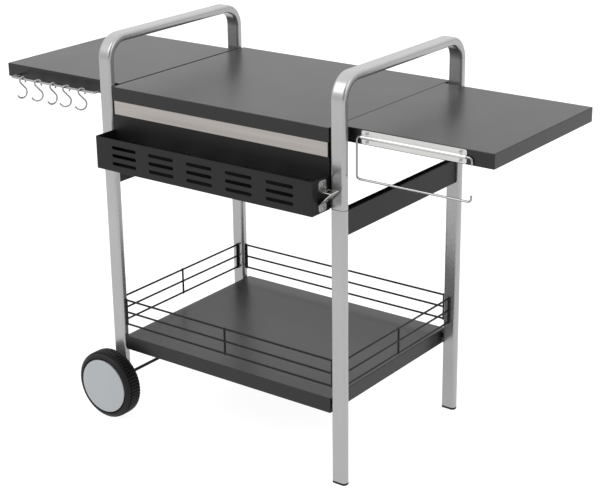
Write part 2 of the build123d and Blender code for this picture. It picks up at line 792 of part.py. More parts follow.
# Paper roll holder: a wire rod that swings in the bead of a plate on the right wing's rim
rod_y = wing_y + rod_radius + rod_clearance
rod_z = rim_low + top_rim / 2
bead_inner = rod_radius + rod_clearance
bead_outer = bead_inner + plate_sheet

with BuildPart() as roll_holder_plate:
    with BuildSketch(Plane.YZ.offset(plate_left)):
        with Locations((-(wing_y + plate_sheet / 2), rod_z)):
            Rectangle(plate_sheet, plate_height)
        with Locations((-rod_y, rod_z)):
            Circle(bead_outer)
        with Locations((-(wing_y + bead_inner / 2), rod_z)):
            Rectangle(bead_inner, 2 * bead_outer)
        with Locations((-rod_y, rod_z)):
            Circle(bead_inner, mode=Mode.SUBTRACT)
        with Locations((-(wing_y + bead_inner / 2), rod_z)):
            Rectangle(bead_inner, 2 * bead_inner, mode=Mode.SUBTRACT)
        with Locations((-(wing_y - bead_outer / 2), rod_z)):
            Rectangle(bead_outer, 3 * bead_outer, mode=Mode.SUBTRACT)
    extrude(amount=plate_length)
    ends = roll_holder_plate.edges().filter_by(Axis.Y).group_by(Axis.Z)
    fillet(ends[0] + ends[-1], plate_corner)
    points = plate_screw_points(-(wing_y + plate_sheet))
    drill(points, (0, FRONT, 0), screw_radius + hole_clearance, 2 * plate_sheet)
keep(roll_holder_plate, "roll_holder_plate")

with BuildPart() as plate_screws:
    length = plate_sheet + sheet + screw_grip
    add_bolts(points, (0, FRONT, 0), screw_head, (screw_radius, length))
keep(plate_screws, "plate_screws")

with BuildPart() as roll_holder_rod:
    left = plate_left - rod_lead
    right = plate_right + rod_lead_right
    with BuildLine(Plane.XZ.offset(rod_y)) as route:
        FilletPolyline(
            (right, rod_z - rod_short_end),
            (right, rod_z),
            (left, rod_z),
            (left, rod_z - rod_drop),
            (right, rod_z - rod_drop),
            (right, rod_z - rod_drop + rod_upturn),
            radius=rod_bend,
        )
    with BuildSketch(Plane(origin=route.wire() @ 0, z_dir=route.wire() % 0)) as section:
        Circle(rod_radius)
    sweep(section.sketch, path=route.wire())
keep(roll_holder_rod, "roll_holder_rod")

# Hook rail on the left wing's rim, and the hooks that hang on it
hook_rail_y = wing_y + hook_rail_standoff
hook_rail_z = work_height - hook_rail_drop

with BuildPart() as hook_rail:
    root = -(wing_y - sheet - hook_rail_thread)
    far_arm = [(hook_rail_far, root), (hook_rail_far, -hook_rail_y)]
    near_arm = [(hook_rail_near, -hook_rail_y), (hook_rail_near, root)]
    with BuildLine(Plane.XY.offset(hook_rail_z)) as route:
        FilletPolyline(*far_arm, *near_arm, radius=hook_rail_bend)
    with BuildSketch(Plane(origin=route.wire() @ 0, z_dir=route.wire() % 0)) as section:
        Circle(hook_rail_radius)
    sweep(section.sketch, path=route.wire())
keep(hook_rail, "hook_rail")

with BuildPart() as hook_rail_nuts:
    for seat in seats(hook_rail_ends(-(wing_y - sheet)), (0, BACK, 0)):
        with BuildSketch(seat) as section:
            RegularPolygon(nut_radius, 6)
            Circle(hook_rail_radius + thread_clearance, mode=Mode.SUBTRACT)
        extrude(section.sketch, amount=nut_height)
keep(hook_rail_nuts, "hook_rail_nuts")


def build_hook(place: float, turn: float) -> BuildPart:
    """An S-hook that hangs on the rail: a small loop over it and a wide loop below."""
    across = Vector(math.cos(math.radians(turn)), math.sin(math.radians(turn)), 0)
    plane = Plane((place, -hook_rail_y, hook_rail_z), across, across.cross(Vector(*UP)))
    top_z = hook_rail_radius + hook_seat + hook_wire - hook_top_radius
    low_z = top_z + hook_top_radius + 2 * hook_wire - hook_height + hook_bottom_radius
    apart = math.hypot(hook_lower_shift, top_z - low_z)
    heading = math.degrees(math.atan2(low_z - top_z, hook_lower_shift))
    leave = heading - math.degrees(math.acos((hook_top_radius + hook_bottom_radius) / apart)) + 360
    arrive = leave - 180
    with BuildPart() as hook:
        with BuildLine(plane) as route:
            over = CenterArc((0, top_z), hook_top_radius, hook_tip_angle, leave - hook_tip_angle)
            sweep_angle = hook_point_angle - arrive
            under = CenterArc((hook_lower_shift, low_z), hook_bottom_radius, arrive, sweep_angle)
            Line(over @ 1, under @ 0)
        with BuildSketch(Plane(origin=route.wire() @ 0, z_dir=route.wire() % 0)) as section:
            Circle(hook_wire)
        sweep(section.sketch, path=route.wire())
    return hook


for number, (share, turn) in enumerate(zip(hook_shares, hook_turns), start=1):
    place = hook_rail_far + share * (hook_rail_near - hook_rail_far)
    keep(build_hook(place, turn), f"s_hook_{number}")


# Wire railings above the shelf, their ends plugged into the legs
def build_railing(plane: Plane, span: float) -> BuildPart:
    """A flat railing: level wires from leg to leg, and three uprights."""
    heights = wire_heights()
    low = heights[0] - upright_overhang
    length = heights[-1] + upright_overhang - low
    with BuildPart(plane) as railing:
        with Locations(*[Location((0, z, 0), (0, 90, 0)) for z in heights]):
            Cylinder(wire_radius, span + 2 * wire_entry)
        reach = span / 2 - upright_inset
        middle = low + length / 2
        with Locations(Location((0, middle, 0), (90, 0, 0))):
            Cylinder(wire_radius, length)
        with Locations(*[Location((x, middle, 0), (90, 0, 0)) for x in (-reach, reach)]):
            Cylinder(end_upright_radius, length)
    return railing


for end_name, end in ENDS.items():
    keep(build_railing(Plane.XZ.offset(-end * leg_y), 2 * leg_in_x), f"{end_name}_railing")
for side_name, side in SIDES.items():
    keep(build_railing(Plane.YZ.offset(side * leg_x), 2 * leg_in_y), f"{side_name}_railing")

# Axle through the left legs, on moulded bushes
with BuildPart() as axle:
    with BuildSketch(Plane.XZ.offset(-leg_out_y - axle_end)):
        with Locations((axle_x, wheel_radius)):
            Circle(axle_radius)
    extrude(amount=2 * (leg_out_y + axle_end))
keep(axle, "axle")

with BuildPart() as axle_bushes:
    for end in ENDS.values():
        bore = axle_radius + thread_clearance
        add_rings([(axle_x, end * leg_in_y, wheel_radius)], (0, end, 0), bush_radius, bore, tube_depth)
        points = [(axle_x, end * leg_out_y, wheel_radius)]
        add_rings(points, (0, end, 0), bush_flange_radius, bore, bush_flange)
keep(axle_bushes, "axle_bushes")

with BuildPart() as axle_washers:
    for end in ENDS.values():
        points = [(axle_x, end * (leg_out_y + bush_flange), wheel_radius)]
        add_rings(points, (0, end, 0), bush_flange_radius, axle_radius + thread_clearance, washer_thickness)
keep(axle_washers, "axle_washers")

with BuildPart() as push_nuts:
    for end in ENDS.values():
        points = [(axle_x, end * (leg_out_y + hub_end + running_gap), wheel_radius)]
        add_rings(points, (0, end, 0), push_nut_radius, axle_radius + thread_clearance, push_nut_height)
keep(push_nuts, "push_nuts")


# Wheels: each profile is drawn from the axle outwards, with the leg's face at zero
def wheel_plane(end: int) -> Plane:
    """A plane through the axle: local x is the radius and local y points away from the leg."""
    return Plane((axle_x, end * leg_out_y, wheel_radius), (1, 0, 0), (0, 0, end))


def wheel_axis(end: int) -> Axis:
    """The axle's centre line, pointing away from the leg."""
    return Axis((axle_x, end * leg_out_y, wheel_radius), (0, end, 0))


def build_tyre(end: int) -> BuildPart:
    """A solid tyre with round shoulders, grooves round the tread and a seat for the cap."""
    seat = tyre_outer - cap_recess
    seat_radius = cap_radius + cap_groove
    with BuildPart() as tyre:
        with BuildSketch(wheel_plane(end)):
            with BuildLine():
                round_in = wheel_radius - tyre_shoulder
                inner = CenterArc((round_in, tyre_inner + tyre_shoulder), tyre_shoulder, -90, 90)
                outer = CenterArc((round_in, tyre_outer - tyre_shoulder), tyre_shoulder, 0, 90)
                Line(inner @ 1, outer @ 0)
                Polyline(
                    outer @ 1,
                    (seat_radius, tyre_outer),
                    (seat_radius, seat),
                    (rim_radius, seat),
                    (rim_radius, tyre_inner),
                    inner @ 0,
                )
            make_face()
            middle = (tyre_inner + tyre_outer) / 2
            with Locations((wheel_radius, middle)):
                with GridLocations(1, tread_groove_pitch, 1, tread_groove_count):
                    Rectangle(2 * tread_groove_depth, tread_groove_width, mode=Mode.SUBTRACT)
        revolve(axis=wheel_axis(end))
    return tyre


def build_hub(end: int) -> BuildPart:
    """A moulded wheel centre: barrel, web, boss and ribs."""
    seat = tyre_outer - cap_recess
    web_low = (hub_start + hub_end) / 2
    with BuildPart() as hub:
        with BuildSketch(wheel_plane(end)):
            bore = axle_radius + bearing_clearance
            with Locations(((bore + hub_radius) / 2, (hub_start + hub_end) / 2)):
                Rectangle(hub_radius - bore, hub_end - hub_start)
            with Locations(((bore + rim_radius) / 2, web_low + hub_web / 2)):
                Rectangle(rim_radius - bore, hub_web)
            with Locations(((rim_in + rim_radius) / 2, (tyre_inner + seat) / 2)):
                Rectangle(rim_wall, seat - tyre_inner)
        revolve(axis=wheel_axis(end))
        rib_length = rim_in + rim_wall / 2 - hub_radius / 2
        rib_height = web_low + hub_web / 2 - tyre_inner - rim_wall
        rib_y = leg_out_y + tyre_inner + rim_wall
        with BuildSketch(Plane((axle_x, end * rib_y, wheel_radius), (1, 0, 0), (0, end, 0))) as ribs:
            with PolarLocations(hub_radius / 2 + rib_length / 2, hub_rib_count):
                Rectangle(rib_length, hub_rib)
        extrude(ribs.sketch, amount=rib_height)
    return hub


def build_cap(end: int) -> BuildPart:
    """A slightly crowned disc with a skirt that plugs into the hub."""
    seat = tyre_outer - cap_recess
    skirt_outer = rim_in - cap_clearance
    skirt_inner = skirt_outer - cap_sheet
    with BuildPart() as cap:
        with BuildSketch(wheel_plane(end)):
            with BuildLine():
                halfway = (cap_radius / 2, (3 * cap_crown + cap_edge) / 4)
                crown = ThreePointArc((0, cap_crown), halfway, (cap_radius, cap_edge))
                Line(crown @ 1, (cap_radius, seat))
                Line((cap_radius, seat), (skirt_outer, seat))
                Line((skirt_outer, seat), (skirt_outer, seat - cap_skirt))
                Line((skirt_outer, seat - cap_skirt), (skirt_inner, seat - cap_skirt))
                Line((skirt_inner, seat - cap_skirt), (skirt_inner, cap_edge - cap_sheet))
                Line((skirt_inner, cap_edge - cap_sheet), (0, cap_crown - cap_sheet))
                Line((0, cap_crown - cap_sheet), (0, cap_crown))
            make_face()
        revolve(axis=wheel_axis(end))
    return cap


for end_name, end in ENDS.items():
    keep(build_tyre(end), f"{end_name}_tyre")
    keep(build_hub(end), f"{end_name}_hub")
    keep(build_cap(end), f"{end_name}_hub_cap")
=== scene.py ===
"""Barbecue table: its finishes, its worked pieces and the studio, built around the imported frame."""

import logging
import math
from collections.abc import Callable, Iterable
from dataclasses import dataclass, field
from enum import Enum

import bmesh
import bpy
from mathutils import Matrix, Vector

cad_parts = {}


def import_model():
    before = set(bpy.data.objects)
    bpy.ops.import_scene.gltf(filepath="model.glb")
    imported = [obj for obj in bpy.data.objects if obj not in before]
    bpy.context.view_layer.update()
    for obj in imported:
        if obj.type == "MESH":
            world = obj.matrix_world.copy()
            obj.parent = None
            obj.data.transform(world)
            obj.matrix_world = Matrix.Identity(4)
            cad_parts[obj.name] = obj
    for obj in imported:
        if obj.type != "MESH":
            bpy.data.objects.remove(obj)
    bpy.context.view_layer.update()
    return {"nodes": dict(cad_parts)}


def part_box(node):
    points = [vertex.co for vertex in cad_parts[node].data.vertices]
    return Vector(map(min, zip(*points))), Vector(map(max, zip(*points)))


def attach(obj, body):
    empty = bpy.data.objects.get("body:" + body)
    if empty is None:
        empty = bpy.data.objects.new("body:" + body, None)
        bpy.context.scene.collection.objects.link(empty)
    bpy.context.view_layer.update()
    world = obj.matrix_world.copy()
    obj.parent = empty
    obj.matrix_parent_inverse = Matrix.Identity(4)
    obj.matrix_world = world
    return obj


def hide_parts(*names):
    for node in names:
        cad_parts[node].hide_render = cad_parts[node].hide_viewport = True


MM = 0.001
MERGE_GAP = 0.02 * MM  # corners of a new mesh closer than this become one
NODE_GAP = 0.002 * MM  # the same for the loose triangles of a CAD node
SAME = 0.01 * MM  # sizes and places closer than this are taken as equal
FACING = 0.5  # a face looks up or down when its normal rises or falls by more
HEXAGON = 6
WHITE = "#ffffff"
LOG = logging.getLogger("barbecue_table")


def linear(code: str) -> tuple[float, float, float, float]:
    """Turn an sRGB hex colour into linear light.

    Args:
        code: The colour, such as "#b9b9b9".

    Returns:
        Linear red, green and blue, and an alpha of one.
    """
    knee, slope, lift, power = 0.04045, 12.92, 0.055, 2.4
    shares = [int(code[place : place + 2], 16) / 255 for place in (1, 3, 5)]
    light = [s / slope if s <= knee else ((s + lift) / (1 + lift)) ** power for s in shares]
    return (*light, 1.0)


def add_node(
    tree: bpy.types.NodeTree,
    kind: str,
    settings: dict[str, object],
    inputs: dict[str | int, object],
) -> bpy.types.Node:
    """Add a shader node with its settings and links.

    Args:
        tree: The material's or the world's node tree.
        kind: The node's type name.
        settings: Values of the node's own properties.
        inputs: For each input, by name or by number where names repeat, a constant or the
            output socket that feeds it.

    Returns:
        The new node.
    """
    node = tree.nodes.new(kind)
    for name, value in settings.items():
        setattr(node, name, value)
    for name, value in inputs.items():
        if isinstance(value, bpy.types.NodeSocket):
            tree.links.new(value, node.inputs[name])
        else:
            node.inputs[name].default_value = value
    return node


class Grain(Enum):
    """How a surface's fine pattern was made."""

    PEEL = "the even ripple of a sprayed and cured coat"
    BRUSH = "long lines left by an abrasive belt"
    CELL = "the small spangles of a plated or moulded skin"


NOISE_DETAIL = {Grain.PEEL: 2.0, Grain.BRUSH: 4.0}
NOISE_ROUGHNESS = 0.6
CLOUD_DETAIL = 1.0


@dataclass(frozen=True)
class Finish:
    """A real material and how its surface was made.

    The grain is the pattern's size in millimetres along X, Y and Z, relief is its height, and cloud
    is the size of the slow drift in tone that any coat or casting has.
    """

    name: str
    dark: str
    light: str
    metallic: float
    roughness: tuple[float, float]
    grain: tuple[float, float, float]
    relief: float
    kind: Grain = Grain.PEEL
    cloud: tuple[float, float, float] = (140.0, 140.0, 140.0)
    coat: float = 0.0
    coat_roughness: float = 0.1
    anisotropy: float = 0.0
    specular: float = 0.5

    def material(self) -> bpy.types.Material:
        """Build the material the first time it is asked for.

        Returns:
            The material.
        """
        known = bpy.data.materials.get(self.name)
        if known:
            return known
        material = bpy.data.materials.new(self.name)
        material.use_nodes = True
        tree = material.node_tree
        shader = tree.nodes["Principled BSDF"]
        shader.inputs["Metallic"].default_value = self.metallic
        shader.inputs["Coat Weight"].default_value = self.coat
        shader.inputs["Coat Roughness"].default_value = self.coat_roughness
        shader.inputs["Anisotropic"].default_value = self.anisotropy
        shader.inputs["Specular IOR Level"].default_value = self.specular
        place = add_node(tree, "ShaderNodeTexCoord", {}, {}).outputs["Object"]
        fine = self._fine(tree, place)
        slow = self._slow(tree, place)
        halves = {0: 0.5, 2: fine, 3: slow}
        tone = add_node(tree, "ShaderNodeMix", {"data_type": "FLOAT"}, halves)
        blend = {0: tone.outputs[0], 6: linear(self.dark), 7: linear(self.light)}
        colour = add_node(tree, "ShaderNodeMix", {"data_type": "RGBA"}, blend)
        tree.links.new(colour.outputs[2], shader.inputs["Base Color"])
        low, high = self.roughness
        ends = {"Value": tone.outputs[0], "To Min": low, "To Max": high}
        gloss = add_node(tree, "ShaderNodeMapRange", {}, ends)
        tree.links.new(gloss.outputs[0], shader.inputs["Roughness"])
        depth = {"Strength": 1.0, "Distance": self.relief * MM, "Height": fine}
        bump = add_node(tree, "ShaderNodeBump", {}, depth)
        tree.links.new(bump.outputs["Normal"], shader.inputs["Normal"])
        return material

    def _fine(self, tree: bpy.types.NodeTree, place: bpy.types.NodeSocket) -> bpy.types.NodeSocket:
        """Draw the grain at its real size.

        Args:
            tree: The material's node tree.
            place: The object coordinates.

        Returns:
            The grain's height, from 0 to 1.
        """
        steps = tuple(1.0 / (size * MM) for size in self.grain)
        scaled = add_node(tree, "ShaderNodeMapping", {}, {"Vector": place, "Scale": steps})
        vector = scaled.outputs["Vector"]
        if self.kind is Grain.CELL:
            inputs = {"Vector": vector, "Scale": 1.0, "Randomness": 1.0}
            return add_node(tree, "ShaderNodeTexVoronoi", {}, inputs).outputs["Distance"]
        inputs = {"Vector": vector, "Scale": 1.0, "Roughness": NOISE_ROUGHNESS}
        inputs["Detail"] = NOISE_DETAIL[self.kind]
        return add_node(tree, "ShaderNodeTexNoise", {}, inputs).outputs["Fac"]

    def _slow(self, tree: bpy.types.NodeTree, place: bpy.types.NodeSocket) -> bpy.types.NodeSocket:
        """Draw the slow drift in tone.

        Args:
            tree: The material's node tree.
            place: The object coordinates.

        Returns:
            The drift, from 0 to 1.
        """
        steps = tuple(1.0 / (size * MM) for size in self.cloud)
        scaled = add_node(tree, "ShaderNodeMapping", {}, {"Vector": place, "Scale": steps})
        inputs = {"Vector": scaled.outputs["Vector"], "Scale": 1.0, "Detail": CLOUD_DETAIL}
        return add_node(tree, "ShaderNodeTexNoise", {}, inputs).outputs["Fac"]


# Steel tube sprayed with silver metallic paint: pale, softly shining, with a fine flake
SILVER_PAINT = Finish(
    "silver_metallic_paint_sprayed",
    dark="#949494",
    light="#adadad",
    metallic=0.75,
    roughness=(0.2, 0.3),
    grain=(1.2, 1.2, 1.2),
    relief=0.01,
    coat=0.15,
    coat_roughness=0.25,
)
# Sheet steel powder coated in anthracite: dark, satin, with a slight orange peel
ANTHRACITE_COAT = Finish(
    "anthracite_powder_coat_cured",
    dark="#0e0e0e",
    light="#151515",
    metallic=0.0,
    roughness=(0.26, 0.36),
    grain=(1.8, 1.8, 1.8),
    relief=0.012,
    specular=0.345,
)
# Steel powder coated in black: deep and rather matt, with a fine orange peel
BLACK_COAT = Finish(
    "black_powder_coat_cured",
    dark="#080808",
    light="#0e0e0e",
    metallic=0.0,
    roughness=(0.42, 0.55),
    grain=(1.6, 1.6, 1.6),
    relief=0.012,
    specular=0.27,
)
# Drawn steel wire dipped in black powder: smooth, with a low shine
BLACK_WIRE_COAT = Finish(
    "black_powder_coat_on_wire",
    dark="#030303",
    light="#070707",
    metallic=0.0,
    roughness=(0.32, 0.44),
    grain=(1.4, 1.4, 1.4),
    relief=0.008,
    specular=0.22,
)
# Stainless sheet brushed along its length: the lines are drawn coarser than a real 0.1 mm grit
BRUSHED_STAINLESS = Finish(
    "stainless_sheet_brushed",
    dark="#847f7b",
    light="#b9b4af",
    metallic=1.0,
    roughness=(0.24, 0.40),
    grain=(180.0, 0.9, 0.9),
    relief=0.004,
    kind=Grain.BRUSH,
    cloud=(520.0, 7.0, 7.0),
    anisotropy=0.5,
)
# Stainless strip, pressed and tumbled: bright, with a fine even grain
PRESSED_STAINLESS = Finish(
    "stainless_strip_tumbled",
    dark="#b4b4b2",
    light="#d0d0ce",
    metallic=1.0,
    roughness=(0.20, 0.32),
    grain=(1.0, 1.0, 1.0),
    relief=0.006,
)
# Steel wire, nickel and chrome plated: mirror bright with faint drawing marks
CHROME_WIRE = Finish(
    "chrome_plate_on_drawn_wire",
    dark="#808182",
    light="#a6a7a8",
    metallic=1.0,
    roughness=(0.08, 0.16),
    grain=(0.8, 0.8, 0.8),
    relief=0.002,
)
# Fasteners, zinc plated and passivated: grey with small spangles
ZINC_PLATE = Finish(
    "zinc_plate_passivated",
    dark="#94989a",
    light="#bdc0c1",
    metallic=1.0,
    roughness=(0.30, 0.46),
    grain=(1.5, 1.5, 1.5),
    relief=0.004,
    kind=Grain.CELL,
)
# Polypropylene, moulded black: matt from a spark-eroded mould
BLACK_MOULDING = Finish(
    "black_polypropylene_moulded",
    dark="#070707",
    light="#0e0e0e",
    metallic=0.0,
    roughness=(0.48, 0.62),
    grain=(0.9, 0.9, 0.9),
    relief=0.01,
    kind=Grain.CELL,
    specular=0.3,
)
# Solid rubber tyre, moulded: nearly black, dull, a little dusty
TYRE_RUBBER = Finish(
    "black_rubber_moulded",
    dark="#050506",
    light="#0b0b0c",
    metallic=0.0,
    roughness=(0.46, 0.6),
    grain=(1.1, 1.1, 1.1),
    relief=0.02,
    cloud=(30.0, 30.0, 30.0),
    specular=0.26,
)
# Wheel cap in ABS, moulded silver grey: pale, cool and satin
GREY_MOULDING = Finish(
    "silver_grey_abs_moulded",
    dark="#93979a",
    light="#9ea2a5",
    metallic=0.0,
    roughness=(0.36, 0.46),
    grain=(0.8, 0.8, 0.8),
    relief=0.004,
    kind=Grain.CELL,
    cloud=(60.0, 60.0, 60.0),
)


def clear_selection() -> None:
    """Deselect everything, because an operator acts on all that is selected."""
    bpy.ops.object.select_all(action="DESELECT")


def apply_place(piece: bpy.types.Object) -> None:
    """Put a piece's place, turn and size into its mesh.

    Args:
        piece: The object.
    """
    clear_selection()
    piece.select_set(True)
    bpy.context.view_layer.objects.active = piece
    bpy.ops.object.transform_apply(location=True, rotation=True, scale=True)


def shade(piece: bpy.types.Object, degrees: float) -> None:
    """Shade a piece smooth, apart from its sharp edges.

    Args:
        piece: The object.
        degrees: The angle past which an edge is sharp.
    """
    clear_selection()
    piece.select_set(True)
    bpy.context.view_layer.objects.active = piece
    bpy.ops.object.shade_smooth_by_angle(angle=math.radians(degrees))


def select_faces(piece: bpy.types.Object, wanted: Callable[[Vector, Vector], bool]) -> None:
    """Select the faces whose middle and normal pass a test, in edit mode.

    Args:
        piece: The object in edit mode.
        wanted: Says whether a face with this middle and normal is wanted.
    """
    shape = bmesh.from_edit_mesh(piece.data)
    bpy.ops.mesh.select_all(action="DESELECT")
    bpy.ops.mesh.select_mode(type="FACE")
    for face in shape.faces:
        face.select_set(wanted(face.calc_center_median(), face.normal))
    bmesh.update_edit_mesh(piece.data)


def close_up(piece: bpy.types.Object) -> None:
    """Merge a mesh's doubles and point its faces outwards.

    Args:
        piece: The object in edit mode.
    """
    bpy.ops.mesh.select_all(action="SELECT")
    bpy.ops.mesh.remove_doubles(threshold=MERGE_GAP)
    bpy.ops.mesh.normals_make_consistent(inside=False)
    bmesh.update_edit_mesh(piece.data)


def solids(node: bpy.types.Object) -> list[list[Vector]]:
    """Find the separate solids in a CAD node.

    Args:
        node: The CAD node.

    Returns:
        The corners of each solid, the solids in order of their lowest corners.
    """
    shape = bmesh.new()
    shape.from_mesh(node.data)
    bmesh.ops.remove_doubles(shape, verts=shape.verts, dist=NODE_GAP)
    waiting = set(shape.verts)
    found = []
    while waiting:
        solid, reached = [], [waiting.pop()]
        while reached:
            vertex = reached.pop()
            solid.append(vertex.co.copy())
            near = {link.other_vert(vertex) for link in vertex.link_edges} & waiting
            waiting -= near
            reached.extend(near)
        found.append(solid)
    shape.free()
    return sorted(found, key=lambda solid: tuple(min(solid, key=tuple)))


def apply_modifier(piece: bpy.types.Object, modifier: bpy.types.Modifier) -> None:
    """Put a modifier's work into its piece's mesh.

    Args:
        piece: The object.
        modifier: One of its modifiers.
    """
    clear_selection()
    piece.select_set(True)
    bpy.context.view_layer.objects.active = piece
    bpy.ops.object.modifier_apply(modifier=modifier.name)


def join_as(pieces: list[bpy.types.Object], name: str) -> bpy.types.Object:
    """Join pieces into one named object.

    Args:
        pieces: The objects to join.
        name: The name of the result and of its mesh.

    Returns:
        The joined object.
    """
    clear_selection()
    for piece in pieces:
        piece.select_set(True)
    bpy.context.view_layer.objects.active = pieces[0]
    if len(pieces) > 1:
        bpy.ops.object.join()
    pieces[0].name = name
    pieces[0].data.name = name
    return pieces[0]


@dataclass
class SubAssembly:
    """A group of pieces with one job on the table."""

    nodes: dict[str, bpy.types.Object]

    def dress(self, finish: Finish, names: Iterable[str]) -> None:
        """Give CAD nodes a finish.

        Args:
            finish: The finish.
            names: The nodes' names.
        """
        for name in names:
            self.nodes[name].material_slots[0].material = finish.material()
            LOG.info("%s: %s", name, finish.name)

    def place(
        self, piece: bpy.types.Object, body: str, slot: str, finish: Finish, node: str
    ) -> None:
        """Dress a new piece and let it stand for a CAD node.

        Args:
            piece: The finished piece.
            body: The body that carries it.
            slot: The record's material slot; not used.
            finish: Its finish.
            node: The node it stands for.
        """
        piece.data.materials.clear()
        piece.data.materials.append(finish.material())
        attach(piece, body)
        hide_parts(node)
        LOG.info("%s on %s: %s", piece.name, body, finish.name)


@dataclass
class SideFrames(SubAssembly):
    """The two hoops on their lower legs, with the rails between them and their feet."""

    def build(self) -> None:
        """Dress the tubes, the rails and the moulded ends."""
        hoops = ("left_hoop", "right_hoop")
        legs = ("front_left_leg", "back_left_leg", "front_right_leg", "back_right_leg")
        self.dress(SILVER_PAINT, hoops + legs)
        self.dress(BLACK_COAT, ("left_side_rail", "right_side_rail"))
        self.dress(ZINC_PLATE, ("leg_spigots", "rail_plugs", "rivet_nuts"))
        self.dress(BLACK_MOULDING, ("front_foot_cap", "back_foot_cap", "leg_plugs"))


@dataclass
class Worktops(SubAssembly):
    """The three folded tops, what stiffens them, the aprons and the stainless strip."""

    def build(self) -> None:
        """Dress the sheets."""
        self.dress(ANTHRACITE_COAT, ("main_top", "left_wing", "right_wing"))
        self.dress(ANTHRACITE_COAT, ("main_top_stiffeners", "wing_stiffeners"))
        self.dress(BLACK_COAT, ("front_apron", "back_apron"))
        self.dress(BRUSHED_STAINLESS, ("front_fascia",))
        self.dress(ZINC_PLATE, ("main_top_nuts",))
        self.dress(BLACK_MOULDING, ("wing_spacers",))


@dataclass
class FrontFittings(SubAssembly):
    """The spice rack, the bottle opener, the roll holder and the hook rail."""

    def build(self) -> None:
        """Dress the fittings."""
        self.dress(BLACK_COAT, ("spice_rack", "rack_end_plates"))
        self.dress(PRESSED_STAINLESS, ("bottle_opener", "roll_holder_plate"))
        hooks = tuple(name for name in self.nodes if name.startswith("s_hook_"))
        self.dress(CHROME_WIRE, ("roll_holder_rod", "hook_rail") + hooks)
        self.dress(ZINC_PLATE, ("hook_rail_nuts",))


@dataclass
class LowerShelf(SubAssembly):
    """The bottom shelf with its stiffeners and wire railings."""

    def build(self) -> None:
        """Dress the tray and the wires."""
        self.dress(ANTHRACITE_COAT, ("bottom_shelf", "shelf_stiffeners"))
        railings = tuple(f"{place}_railing" for place in ("front", "back", "left", "right"))
        self.dress(BLACK_WIRE_COAT, railings)
        self.dress(BLACK_MOULDING, ("shelf_washers",))


